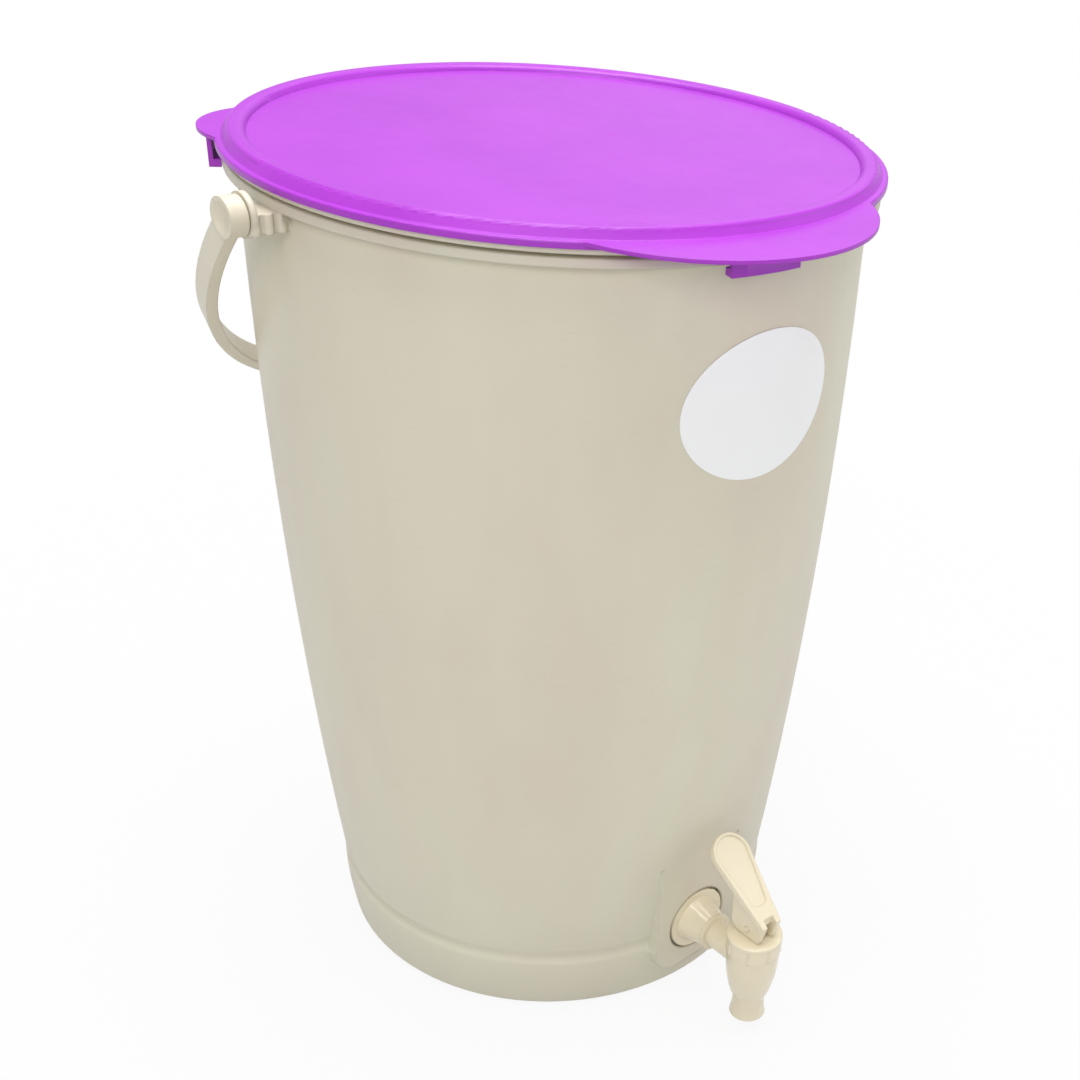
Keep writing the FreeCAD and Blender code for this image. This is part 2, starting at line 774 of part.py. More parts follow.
shoulder = s.tube_radius + s.shoulder_rise
bonnet_inner = s.screw_neck_radius + s.bonnet_clearance
bonnet_radius = bonnet_inner + s.bonnet_wall
chamber_bore_radius = s.screw_neck_radius - s.chamber_neck_wall
chamber_profile = new_sketch(tap_body, "chamber_profile", "YZ_Plane", chamber_reach)
screw_top = shoulder + s.screw_neck_height
belly_level = (shoulder - s.outlet_neck_drop) / 2
outline(chamber_profile, [
    (0, -s.outlet_drop),
    (s.outlet_radius, -s.outlet_drop),
    (s.outlet_neck_radius, -s.outlet_neck_drop),
    (s.bulb_end_radius, -s.outlet_neck_drop + s.bulb_end_rise),
    (bonnet_radius - s.chamber_inset, shoulder),
    (s.screw_neck_radius, shoulder),
    (s.screw_neck_radius, screw_top),
    (0, screw_top),
], {
    1: (s.outlet_neck_radius, -(s.outlet_drop + s.outlet_neck_drop) / 2),
    3: (s.chamber_belly, belly_level),
})
turned(tap_body, "chamber", chamber_profile)

bore_profile = new_sketch(tap_body, "bore_profile", "YZ_Plane", chamber_reach)
outline(bore_profile, [
    (0, -s.outlet_drop - s.cut_margin),
    (s.outlet_bore_radius, -s.outlet_drop - s.cut_margin),
    (s.outlet_bore_radius, -s.outlet_drop + s.outlet_bore_depth),
    (s.seat_hole_radius, -s.outlet_drop + s.outlet_bore_depth + s.outlet_cone),
    (s.seat_hole_radius, -s.seat_depth),
    (chamber_bore_radius, -s.seat_depth),
    (chamber_bore_radius, screw_top + s.cut_margin),
    (0, screw_top + s.cut_margin),
])
turned(tap_body, "chamber_bore", bore_profile, cut=True)
shank_bore = new_sketch(tap_body, "shank_bore_profile", "YZ_Plane", chamber_reach)
circle(shank_bore, (0, 0), s.shank_bore_radius)
pushed(tap_body, "shank_bore", shank_bore, chamber_reach - shank_inner_end + s.cut_margin, cut=True)


# Bonnet: ribbed screw cap

bonnet = new_body("tap_bonnet", rise=tap_level)
bonnet_bottom = shoulder + s.bonnet_gap
bonnet_top = bonnet_bottom + s.bonnet_height
bonnet_profile = new_sketch(bonnet, "bonnet_profile", "YZ_Plane")
soft = s.bonnet_edge_round
outline(bonnet_profile, [
    (s.stem_radius + s.stem_clearance, bonnet_top - s.bonnet_top),
    (bonnet_inner, bonnet_top - s.bonnet_top),
    (bonnet_inner, bonnet_bottom),
    (bonnet_radius, bonnet_bottom),
    (bonnet_radius, bonnet_top - soft),
    (bonnet_radius - soft, bonnet_top),
    (s.stem_radius + s.stem_clearance, bonnet_top),
], {4: (bonnet_radius - soft * round_share, bonnet_top - soft * round_share)})
turned(bonnet, "bonnet_cap", bonnet_profile)
flute = new_sketch(bonnet, "flute_profile", "XY_Plane", bonnet_top - s.bonnet_rim)
circle(flute, (bonnet_radius + s.bonnet_flute_radius - s.bonnet_flute_depth, 0), s.bonnet_flute_radius)
flute_cut = pushed(bonnet, "flute", flute, s.bonnet_height, cut=True)
around(bonnet, "flutes", [flute_cut], s.bonnet_flute_count)


# Stem, seat cup and pin: they move up together when the lever tips

pin_level = bonnet_top + s.pin_height
stem = new_body("tap_stem", rise=tap_level)
cup_bottom = -s.seat_depth + s.cup_seat_gap
stem_bottom = cup_bottom + s.cup_foot + s.cup_wall
stem_profile = new_sketch(stem, "stem_profile", "YZ_Plane")
outline(stem_profile, box_corners(
    (0, stem_bottom), (s.stem_radius, pin_level + s.stem_head_radius)))
turned(stem, "rod", stem_profile)
stem_hole = new_sketch(stem, "stem_hole_profile", "XZ_Plane")
circle(stem_hole, (0, pin_level), s.pin_radius + s.pin_clearance)
pushed(stem, "stem_hole", stem_hole, 2 * (s.stem_radius + s.cut_margin), cut=True, both=True)

cup = new_body("tap_seat_cup", rise=tap_level)
cup_profile = new_sketch(cup, "cup_profile", "YZ_Plane")
clamp_low = screw_top + s.seal_clearance
clamp_high = bonnet_top - s.bonnet_top - s.seal_clearance
socket = s.stem_radius + s.seal_clearance
bell_outer = chamber_bore_radius - s.washer_inner_gap
outline(cup_profile, [
    (0, cup_bottom),
    (s.cup_radius, cup_bottom),
    (s.cup_radius, cup_bottom + s.cup_foot),
    (s.cup_stalk_radius, cup_bottom + s.cup_foot + s.cup_wall),
    (s.cup_stalk_radius, s.cup_wall),
    (bell_outer, screw_top - s.cup_wall),
    (bell_outer, clamp_low),
    (s.screw_neck_radius - s.washer_inner_gap, clamp_low),
    (s.screw_neck_radius - s.washer_inner_gap, clamp_high),
    (bell_outer - s.cup_wall, clamp_high),
    (bell_outer - s.cup_wall, screw_top - s.cup_wall),
    (socket, 2 * s.cup_wall),
    (socket, stem_bottom - s.seal_clearance),
    (0, stem_bottom - s.seal_clearance),
])
turned(cup, "cup", cup_profile)

slot_half_width = s.stem_radius + s.slot_clearance
cheek_half_width = slot_half_width + s.cheek_thickness
pin = new_body("tap_lever_pin", rise=tap_level)
pin_profile = new_sketch(pin, "pin_profile", "XZ_Plane")
circle(pin_profile, (0, pin_level), s.pin_radius)
pushed(pin, "pin", pin_profile, 2 * cheek_half_width, both=True)

for moving in (bonnet, stem, cup, pin):
    bind(moving, "Placement.Base.y", -chamber_reach)


# Lever: forked foot that rocks on the bonnet, and a dished thumb paddle that leans to the wall

lever = new_body("tap_lever", rise=tap_level)
bind(lever, "Placement.Base.y", -chamber_reach)
sole = bonnet_top + s.lever_gap
foot_profile = new_sketch(lever, "foot_profile", "XZ_Plane")
toe = s.toe_radius
lever_front = sole + s.lever_front_height
lean_x, lean_z = cosine(s.paddle_angle), sine(s.paddle_angle)
heel_rise = (s.lever_front_reach + s.heel_reach) * lean_z / lean_x - s.paddle_thickness / 2
heel_round = s.heel_height * round_share
outline(foot_profile, [
    (-s.heel_flat, sole),
    (s.toe_reach, sole),
    (s.toe_reach + toe, sole + toe),
    (s.lever_front_reach, lever_front),
    (-s.heel_reach, lever_front + heel_rise),
    (-s.heel_reach, sole + s.heel_height),
], {
    1: (s.toe_reach + toe * diagonal, sole + toe * (1 - diagonal)),
    5: (-s.heel_reach + heel_round, sole + heel_round),
})
pushed(lever, "foot", foot_profile, 2 * cheek_half_width, both=True)


def tilt_to_paddle(sketch):
    """Lays a sketch on the paddle's top face: its x runs up the paddle from the front edge."""
    turn = FreeCAD.Rotation(FreeCAD.Vector(0, 1, 0), 0)
    sketch.AttachmentOffset = FreeCAD.Placement(FreeCAD.Vector(0, 0, 0), turn)
    bind(sketch, "AttachmentOffset.Base.x", s.lever_front_reach)
    bind(sketch, "AttachmentOffset.Base.z", lever_front)
    bind(sketch, "AttachmentOffset.Rotation.Angle", s.paddle_angle)


paddle_centre = s.paddle_length - s.paddle_end_radius
paddle_profile = new_sketch(lever, "paddle_profile", "XY_Plane")
tilt_to_paddle(paddle_profile)
outline(paddle_profile, [
    (0, -cheek_half_width),
    (0, cheek_half_width),
    (-paddle_centre, s.paddle_end_radius),
    (-paddle_centre, -s.paddle_end_radius),
], {2: (-s.paddle_length, 0)})
pushed(lever, "paddle", paddle_profile, s.paddle_thickness, backwards=True)

dish_profile = new_sketch(lever, "dish_profile", "XY_Plane")
tilt_to_paddle(dish_profile)
dish_start_half = cheek_half_width - s.paddle_border
dish_end_half = s.paddle_end_radius - s.paddle_border
outline(dish_profile, [
    (-s.paddle_dish_start, -dish_start_half),
    (-s.paddle_dish_start, dish_start_half),
    (-paddle_centre, dish_end_half),
    (-paddle_centre, -dish_end_half),
], {
    0: (-s.paddle_dish_start + s.paddle_border, 0),
    2: (-s.paddle_length + s.paddle_border, 0),
})
pushed(lever, "dish", dish_profile, s.paddle_dish, cut=True)

slot_profile = new_sketch(lever, "slot_profile", "XZ_Plane")
slot_top = lever_front - s.paddle_thickness / 2
slot_front = s.lever_front_reach + s.cut_margin
slot_back = s.heel_reach + s.cut_margin
slot_back_top = slot_top + (s.lever_front_reach + slot_back) * lean_z / lean_x - s.paddle_thickness
outline(slot_profile, [
    (slot_front, sole - s.cut_margin),
    (slot_front, lever_front + s.paddle_notch),
    (s.lever_front_reach - s.paddle_notch * lean_x, lever_front + s.paddle_notch),
    (s.lever_front_reach - s.paddle_notch * lean_x, slot_top),
    (-slot_back, slot_back_top),
    (-slot_back, sole - s.cut_margin),
])
pushed(lever, "slot", slot_profile, 2 * slot_half_width, cut=True, both=True)
lever_hole = new_sketch(lever, "lever_hole_profile", "XZ_Plane")
circle(lever_hole, (0, pin_level), s.pin_radius + s.pin_clearance)
pushed(lever, "lever_hole", lever_hole, 2 * (cheek_half_width + s.cut_margin), cut=True, both=True)


# Washers and back nut on the tap's shank

def washer(name, start, thickness, radius):
    ring_body = new_body(name, rise=tap_level)
    profile = new_sketch(ring_body, name + "_profile", "XZ_Plane")
    outline(profile, box_corners(
        (start, s.shank_radius + s.washer_inner_gap), (start + thickness, radius)))
    turned(ring_body, name + "_ring", profile, axis="H_Axis")
    return ring_body


washer("tap_outer_washer", recess_floor, s.outer_washer, s.outer_washer_radius)
washer("tap_inner_washer", inner_seat_reach - s.inner_washer, s.inner_washer,
       s.inner_washer_radius)

nut = new_body("tap_back_nut", rise=tap_level)
nut_front = inner_seat_reach - s.inner_washer
hexagon = new_sketch(nut, "hexagon_profile", "YZ_Plane", nut_front)
outline(hexagon, [
    (s.nut_radius * math.cos(math.radians(60 * side)), s.nut_radius * math.sin(math.radians(60 * side)))
    for side in range(6)])
pushed(nut, "hexagon", hexagon, s.nut_length, backwards=True)
nut_hole = new_sketch(nut, "nut_hole_profile", "YZ_Plane", nut_front)
circle(nut_hole, (0, 0), s.shank_radius + s.nut_clearance)
pushed(nut, "nut_hole", nut_hole, s.nut_length, cut=True)

doc.recompute()

for item in doc.Objects:
    if "Invalid" in item.State or "Error" in item.State:
        raise RuntimeError(f"{item.Name} failed: {item.State} {item.getStatusString()}")

os.makedirs("parts", exist_ok=True)
for body in doc.Objects:
    if body.TypeId != "PartDesign::Body":
        continue
    shape = body.Shape
    if shape.isNull() or not shape.isValid():
        raise RuntimeError(f"{body.Label} has no valid shape")
    shape.exportStep(f"parts/{body.Label}.step")
    box = shape.BoundBox
    print(f"{body.Label:18s} solids {len(shape.Solids)} volume {shape.Volume / 1000:8.2f} cm3 "
          f"x {box.XMin:7.1f} {box.XMax:7.1f} y {box.YMin:7.1f} {box.YMax:7.1f} "
          f"z {box.ZMin:7.1f} {box.ZMax:7.1f}")
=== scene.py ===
import math

import bmesh
import bpy
from mathutils import Matrix, Vector


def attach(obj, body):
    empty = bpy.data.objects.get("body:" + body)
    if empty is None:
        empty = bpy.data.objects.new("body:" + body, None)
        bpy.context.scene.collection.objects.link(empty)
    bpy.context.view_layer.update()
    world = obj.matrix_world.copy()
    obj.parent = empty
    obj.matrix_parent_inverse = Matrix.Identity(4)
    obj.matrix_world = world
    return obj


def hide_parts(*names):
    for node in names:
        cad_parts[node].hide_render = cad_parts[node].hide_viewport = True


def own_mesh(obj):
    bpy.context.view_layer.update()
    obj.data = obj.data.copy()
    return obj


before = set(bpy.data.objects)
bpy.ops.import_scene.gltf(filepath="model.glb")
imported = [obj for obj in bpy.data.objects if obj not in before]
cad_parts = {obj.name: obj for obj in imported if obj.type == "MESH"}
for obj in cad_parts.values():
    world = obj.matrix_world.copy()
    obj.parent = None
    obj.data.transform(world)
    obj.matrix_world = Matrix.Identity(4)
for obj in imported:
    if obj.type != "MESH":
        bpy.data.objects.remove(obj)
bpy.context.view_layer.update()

# Bucket
# One deep moulding of beige polypropylene: tapered wall, rolled lip, foot ring, two ribbed bosses
# with stub pegs for the handle, and an arched pad for the tap. Its corners leave the mould slightly
# round, and the spark-eroded mould gives the wall a fine satin grain.


def linear(hex_colour):
    """An sRGB hex colour as linear RGBA."""
    parts = [int(hex_colour[i:i + 2], 16) / 255 for i in (1, 3, 5)]
    return [c / 12.92 if c <= 0.04045 else ((c + 0.055) / 1.055) ** 2.4 for c in parts] + [1.0]


def apart(millimetres):
    """The scale of a pattern whose marks lie this far apart."""
    return 1000 / millimetres


def add_node(tree, kind, settings=None, **links):
    """Adds one node; settings fill its properties and sockets, links join its inputs to outputs.
    A link is named after its input, or is an underscore and the input's number."""
    node = tree.nodes.new(kind)
    for key, value in (settings or {}).items():
        if isinstance(key, str) and hasattr(node, key):
            setattr(node, key, value)
        else:
            node.inputs[key].default_value = value
    for key, source in links.items():
        numbered = key[1:].isdigit()
        socket = node.inputs[int(key[1:])] if numbered else node.inputs[key.replace("_", " ")]
        tree.links.new(source, socket)
    return node


# The melt leaves pigment clouds 71 mm wide and three times as long, and shallow dents 33 mm apart
# where the wall has shrunk. The grain of the mould is 0.3 mm, drawn at 0.6 mm so that it shows.
CLOUD_MM, CLOUD_FROM, CLOUD_TO, FLOW_SQUEEZE = 71.4, 0.35, 0.65, 0.35
DENT_MM, DENT_STRENGTH, DENT_DEPTH = 33.3, 0.25, 0.0006
GRAIN_MM, GRAIN_DEPTH = 0.625, 0.00008
# Handling leaves rubbed marks 11 mm long and 2 mm high. They are the darkest fifth of their pattern,
# and the gloss wanders with it.
RUB_MM, RUB_FROM, RUB_TO = 11.1, 0.60, 0.78
RUB_SQUEEZE, RUB_SLANT, GLOSS_LESS, GLOSS_MORE = 5.0, (0.3, 0.5, 0.2), 0.05, 0.07
# Polypropylene's index of refraction, and the roughness of a polished clear skin.
PLASTIC_IOR, CLEAR_ROUGH = 1.49, 0.12


def moulded_plastic(name, body, cloud, deep, rough, grain, corner_mm, scuff=0.0, clear=0.0,
                    mirror=0.5):
    """Injection-moulded polypropylene: the eye sees soft broad highlights that wander with the flow
    of the melt, cloudy pigment, a fine grain, faint rubbed marks and corners a little round."""
    finish = bpy.data.materials.new(name)
    finish.use_nodes = True
    tree = finish.node_tree
    tree.nodes.clear()
    out = add_node(tree, "ShaderNodeOutputMaterial")
    shader = add_node(tree, "ShaderNodeBsdfPrincipled", {
        "IOR": PLASTIC_IOR, "Specular IOR Level": mirror,
        "Coat Weight": clear, "Coat Roughness": CLEAR_ROUGH})
    place = add_node(tree, "ShaderNodeTexCoord").outputs["Object"]
    drawn = add_node(tree, "ShaderNodeMapping", {"Scale": (1.0, 1.0, FLOW_SQUEEZE)}, Vector=place)
    flow = add_node(tree, "ShaderNodeTexNoise",
                    {"Scale": apart(CLOUD_MM), "Detail": 3.0, "Roughness": 0.55},
                    Vector=drawn.outputs["Vector"])
    spread = add_node(tree, "ShaderNodeMapRange", {"From Min": CLOUD_FROM, "From Max": CLOUD_TO},
                      Value=flow.outputs["Fac"])
    pigment = add_node(tree, "ShaderNodeMix",
                       {"data_type": "RGBA", 6: linear(body), 7: linear(cloud)},
                       _0=spread.outputs["Result"])
    rubbed = add_node(tree, "ShaderNodeMapping",
                      {"Scale": (1.0, 1.0, RUB_SQUEEZE), "Rotation": RUB_SLANT}, Vector=place)
    marks = add_node(tree, "ShaderNodeTexNoise",
                     {"Scale": apart(RUB_MM), "Detail": 6.0, "Roughness": 0.7},
                     Vector=rubbed.outputs["Vector"])
    worn = add_node(tree, "ShaderNodeMapRange",
                    {"From Min": RUB_FROM, "From Max": RUB_TO, "To Max": scuff},
                    Value=marks.outputs["Fac"])
    colour = add_node(tree, "ShaderNodeMix", {"data_type": "RGBA", 7: linear(deep)},
                      _0=worn.outputs["Result"], _6=pigment.outputs[2])
    tree.links.new(colour.outputs[2], shader.inputs["Base Color"])
    gloss = add_node(tree, "ShaderNodeMapRange",
                     {"To Min": rough - GLOSS_LESS, "To Max": rough + GLOSS_MORE},
                     Value=marks.outputs["Fac"])
    tree.links.new(gloss.outputs["Result"], shader.inputs["Roughness"])
    corner = add_node(tree, "ShaderNodeBevel", {"samples": 6, "Radius": corner_mm / 1000})
    shrunk = add_node(tree, "ShaderNodeTexNoise", {"Scale": apart(DENT_MM), "Detail": 1.0},
                      Vector=drawn.outputs["Vector"])
    dents = add_node(tree, "ShaderNodeBump", {"Strength": DENT_STRENGTH, "Distance": DENT_DEPTH},
                     Height=shrunk.outputs["Fac"], Normal=corner.outputs["Normal"])
    fine = add_node(tree, "ShaderNodeTexNoise", {"Scale": apart(GRAIN_MM), "Detail": 2.0},
                    Vector=place)
    relief = add_node(tree, "ShaderNodeBump", {"Strength": grain, "Distance": GRAIN_DEPTH},
                      Height=fine.outputs["Fac"], Normal=dents.outputs["Normal"])
    tree.links.new(relief.outputs["Normal"], shader.inputs["Normal"])
    tree.links.new(shader.outputs["BSDF"], out.inputs["Surface"])
    return finish


def finished_piece(mesh, name, finish, body, node):
    """A finished mesh as a piece that rides on its body and stands for the CAD node."""
    mesh.materials.clear()
    mesh.materials.append(finish)
    piece = bpy.data.objects.new(name, mesh)
    bpy.context.scene.collection.objects.link(piece)
    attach(piece, body)
    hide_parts(node)
    return piece


# Points closer than the weld are one point, and faces that bend less than the flat angle are one
# face. A bend above the crease angle stays sharp, and a rounded piece rounds the bends above the
# corner angle.
WELD, FLAT, CREASE, CORNER = 0.000002, math.radians(0.05), math.radians(14), math.radians(35)


def moulded_copy(node, name, finish, body, round_mm=0.0, reshape=None):
    """A moulding with even faces and clean creases; round_mm rounds the corners of a small one."""
    shell = bmesh.new()
    shell.from_mesh(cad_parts[node].data)
    bmesh.ops.remove_doubles(shell, verts=shell.verts, dist=WELD)
    bmesh.ops.dissolve_limit(shell, angle_limit=FLAT, verts=shell.verts, edges=shell.edges)
    if reshape:
        reshape(shell)
    mesh = bpy.data.meshes.new(name)
    shell.to_mesh(mesh)
    shell.free()
    mesh.shade_smooth()
    mesh.set_sharp_from_angle(angle=CREASE)
    rough_cut = bpy.data.objects.new(name + "_cut", mesh)
    bpy.context.scene.collection.objects.link(rough_cut)
    if round_mm:
        edge = rough_cut.modifiers.new("edge", "BEVEL")
        edge.width = round_mm / 1000
        edge.segments = 3
        edge.limit_method = "ANGLE"
        edge.angle_limit = CORNER
        edge.use_clamp_overlap = False
    rough_cut.modifiers.new("even faces", "WEIGHTED_NORMAL").keep_sharp = True
    ready = rough_cut.evaluated_get(bpy.context.evaluated_depsgraph_get())
    finished = bpy.data.meshes.new_from_object(ready)
    bpy.data.objects.remove(rough_cut)
    return finished_piece(finished, name, finish, body, node)


# The solid's foot is a plain cone between these levels; the real one swells under its crease.
FOOT_TOP, FOOT_LOW, FOOT_RADIUS, FOOT_FLARE = 0.0370, 0.0055, 0.1138, 0.0006
FOOT_SWELL, FOOT_SHOULDER, FOOT_SKIN = 0.0022, 0.0055, 0.0002
FOOT_RINGS = (0.0362, 0.0354, 0.0346, 0.0338, 0.0330, 0.0320, 0.0305,
              0.0285, 0.0255, 0.0220, 0.0185, 0.0150, 0.0115, 0.0080)


def swell_foot(shell):
    """The foot swells out under the crease with a soft shoulder, and draws in towards the base."""
    for level in FOOT_RINGS:
        whole = shell.verts[:] + shell.edges[:] + shell.faces[:]
        bmesh.ops.bisect_plane(shell, geom=whole, dist=1e-6,
                               plane_co=(0, 0, level), plane_no=(0, 0, 1))
    below_shoulder = FOOT_TOP - FOOT_SHOULDER
    for vert in shell.verts:
        rise = (vert.co.z - FOOT_LOW) / (FOOT_TOP - FOOT_LOW)
        radius = math.hypot(vert.co.x, vert.co.y)
        if 0 < rise < 1 and abs(radius - FOOT_RADIUS - FOOT_FLARE * rise) < FOOT_SKIN:
            under = min((FOOT_TOP - vert.co.z) / FOOT_SHOULDER, 1.0)
            drawn = max((below_shoulder - vert.co.z) / (below_shoulder - FOOT_LOW), 0.0)
            shoulder = under * under * (3 - 2 * under)
            out = 1 + FOOT_SWELL * shoulder * (1 - drawn * drawn) / radius
            vert.co.x *= out
            vert.co.y *= out


# A satin mould: the wall shows broad faint highlights.
beige = moulded_plastic("moulded beige polypropylene", "#D5D1BB", "#D3C9B6", "#B5AF99",
                        rough=0.42, grain=0.35, corner_mm=1.5, scuff=0.25)
moulded_copy("bucket_body", "bucket_moulding", beige, "bucket", reshape=swell_foot)

# Tap spout
# A bought-in tap of ivory polypropylene: flange and cone against the pad, a collar, and the valve
# chamber that ends in the nozzle. The washers and the nut inside hold it in the bucket's wall.

# A polished mould: small bright highlights under a thin clear skin, and hardly any grain.
ivory = moulded_plastic("polished ivory polypropylene", "#E8DDC2", "#E3D7BA", "#CDBF9F",
                        rough=0.20, grain=0.06, corner_mm=0.5, scuff=0.1, clear=0.25)
moulded_copy("tap_body", "tap_spout", ivory, "bucket")

# Tap washers and back nut
# Two washers cut from black sheet rubber seal the tap on both sides of the wall. The ivory nut
# inside screws onto the tap's shank and pulls them tight.

# Cut rubber looks dull and nearly black, greyed by talc in spots 4 mm apart that also roughen it.
TALC_MM, TALC_DEPTH = 3.85, 0.0002
rubber = bpy.data.materials.new("cut black rubber")
rubber.use_nodes = True
tree = rubber.node_tree
skin = tree.nodes["Principled BSDF"]
skin.inputs["Specular IOR Level"].default_value = 0.35
place = add_node(tree, "ShaderNodeTexCoord").outputs["Object"]
talc = add_node(tree, "ShaderNodeTexNoise", {"Scale": apart(TALC_MM), "Detail": 5.0}, Vector=place)
shade = add_node(tree, "ShaderNodeMix",
                 {"data_type": "RGBA", 6: linear("#191919"), 7: linear("#2B2A28")},
                 _0=talc.outputs["Fac"])
tree.links.new(shade.outputs[2], skin.inputs["Base Color"])
dull = add_node(tree, "ShaderNodeMapRange", {"To Min": 0.62, "To Max": 0.85},
                Value=talc.outputs["Fac"])
tree.links.new(dull.outputs["Result"], skin.inputs["Roughness"])
pores = add_node(tree, "ShaderNodeBump", {"Strength": 0.3, "Distance": TALC_DEPTH},
                 Height=talc.outputs["Fac"])
tree.links.new(pores.outputs["Normal"], skin.inputs["Normal"])
for node in ("tap_outer_washer", "tap_inner_washer"):
    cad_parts[node].data.materials[0] = rubber
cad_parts["tap_back_nut"].data.materials[0] = ivory

# Tap stem and seat cup
# The stem and its cross pin are ivory polypropylene. The cup under the stem closes the outlet; it is
# cast from white silicone, as is the seal in the lid. The tap's cap clamps the cup's rim.

for node in ("tap_stem", "tap_lever_pin"):
    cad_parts[node].data.materials[0] = ivory
# Cast silicone looks milky, because light enters it by 4 mm; its haze clouds over 8 mm.
HAZE_MM = 8.33
silicone = bpy.data.materials.new("cast white silicone")
silicone.use_nodes = True
tree = silicone.node_tree
skin = tree.nodes["Principled BSDF"]
skin.inputs["IOR"].default_value = 1.41
skin.inputs["Subsurface Weight"].default_value = 0.3
skin.inputs["Subsurface Radius"].default_value = (0.004, 0.004, 0.003)
skin.inputs["Subsurface Scale"].default_value = 0.5
place = add_node(tree, "ShaderNodeTexCoord").outputs["Object"]
haze = add_node(tree, "ShaderNodeTexNoise", {"Scale": apart(HAZE_MM), "Detail": 4.0}, Vector=place)
shade = add_node(tree, "ShaderNodeMix",
                 {"data_type": "RGBA", 6: linear("#E4E3DE"), 7: linear("#D8D8D4")},
                 _0=haze.outputs["Fac"])
tree.links.new(shade.outputs[2], skin.inputs["Base Color"])
dull = add_node(tree, "ShaderNodeMapRange", {"To Min": 0.38, "To Max": 0.55},
                Value=haze.outputs["Fac"])
tree.links.new(dull.outputs["Result"], skin.inputs["Roughness"])
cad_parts["lid_seal"].data.materials[0] = silicone
# The stem lifts the cup's foot by its stroke while the rim stays, so the real cup shortens by that
# much; here the cup keeps its shape, rides on the stem and has a mesh of its own.
TAP_AXIS = (0.0, -0.1616)
cup = moulded_copy("tap_seat_cup", "seat_cup", silicone, "stem")
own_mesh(cup)

# Tap cap
# The screw cap of the same ivory plastic: a smooth round rim above a skirt with eight finger grooves.
# One eighth of it is drawn, and Geometry Nodes repeat it round the cap's axis and weld the eighths.

CAP_LOW, CAP_HIGH = 0.0510, 0.0620
CAP_RADIUS, CAP_BORE, CAP_TOP, STEM_HOLE = 0.0144, 0.01225, 0.0024, 0.00288
RIM_HEIGHT, RIM_ROUND, SKIRT_SET_IN, LOW_EDGE = 0.0028, 0.0012, 0.0002, 0.0003
GROOVES, GROOVE_HALF, GROOVE_DEPTH, GROOVE_FADE = 8, 0.0014, 0.0007, 0.0008
GROOVE_TURN = math.radians(32.5)

# the section, from the stem's hole over the rim, down the skirt and back through the bore
skirt_top, skirt_radius = CAP_HIGH - RIM_HEIGHT, CAP_RADIUS - SKIRT_SET_IN
section = [(STEM_HOLE, CAP_HIGH), (0.0060, CAP_HIGH), (0.0105, CAP_HIGH)]
for degrees in (0, 18, 36, 54, 72, 90):
    bend = math.radians(degrees)
    section.append((CAP_RADIUS - RIM_ROUND * (1 - math.sin(bend)),
                    CAP_HIGH - RIM_ROUND * (1 - math.cos(bend))))
section += [(CAP_RADIUS, skirt_top + 0.0004), (skirt_radius, skirt_top)]
section += [(skirt_radius, skirt_top - down) for down in (0.0003, 0.0006, 0.0010, 0.0030, 0.0055)]
section += [(skirt_radius, CAP_LOW + LOW_EDGE), (skirt_radius - LOW_EDGE, CAP_LOW),
            (CAP_BORE, CAP_LOW), (CAP_BORE, CAP_HIGH - CAP_TOP), (STEM_HOLE, CAP_HIGH - CAP_TOP)]

# the angles of half an eighth, closest together in the groove
half = [0.0]
for share in (0.15, 0.3, 0.45, 0.6, 0.75, 0.9, 1.0, 1.15, 1.6, 2.4, 3.2):
    half.append(share * GROOVE_HALF / CAP_RADIUS)
half.append(math.pi / GROOVES)

eighth = bmesh.new()
rows = []
for angle in [-a for a in reversed(half[1:])] + half:
    aside = min(abs(angle) * CAP_RADIUS / GROOVE_HALF, 1.0)
    cut = GROOVE_DEPTH * (0.5 + 0.5 * math.cos(math.pi * aside))
    row = []
    for radius, level in section:
        below = min(max((skirt_top - level) / GROOVE_FADE, 0.0), 1.0)
        if radius > (CAP_BORE + CAP_RADIUS) / 2:
            radius -= cut * below * below * (3 - 2 * below)
        row.append(eighth.verts.new((radius * math.cos(angle), radius * math.sin(angle), level)))
    rows.append(row)
for row, after in zip(rows, rows[1:]):
    for i in range(len(section)):
        j = (i + 1) % len(section)
        eighth.faces.new((row[i], row[j], after[j], after[i]))
bmesh.ops.recalc_face_normals(eighth, faces=eighth.faces)
eighth_mesh = bpy.data.meshes.new("cap_eighth")
eighth.to_mesh(eighth_mesh)
eighth.free()
cap_cut = bpy.data.objects.new("cap_eighth", eighth_mesh)
bpy.context.scene.collection.objects.link(cap_cut)

tree = bpy.data.node_groups.new("grooved cap", "GeometryNodeTree")
panel = tree.interface
for name, kind in (("Eighth", "Geometry"), ("Grooves", "Int"), ("Turn", "Float"),
                   ("Axis", "Vector"), ("Plastic", "Material")):
    panel.new_socket(name, in_out="INPUT", socket_type="NodeSocket" + kind)
panel.new_socket("Cap", in_out="OUTPUT", socket_type="NodeSocketGeometry")
given = add_node(tree, "NodeGroupInput")
centres = add_node(tree, "GeometryNodePoints", Count=given.outputs["Grooves"],
                   Position=given.outputs["Axis"])
number = add_node(tree, "GeometryNodeInputIndex")
part_turn = add_node(tree, "ShaderNodeMath", {"operation": "DIVIDE", 0: math.tau},
                     _1=given.outputs["Grooves"])
turn = add_node(tree, "ShaderNodeMath", {"operation": "MULTIPLY_ADD"}, _0=number.outputs[0],
                _1=part_turn.outputs[0], _2=given.outputs["Turn"])
spin = add_node(tree, "ShaderNodeCombineXYZ", Z=turn.outputs[0])
placed = add_node(tree, "GeometryNodeInstanceOnPoints", Points=centres.outputs[0],
                  Instance=given.outputs["Eighth"], Rotation=spin.outputs[0])
real = add_node(tree, "GeometryNodeRealizeInstances", _0=placed.outputs[0])
weld = add_node(tree, "GeometryNodeMergeByDistance", {"Distance": 0.00001}, _0=real.outputs[0])
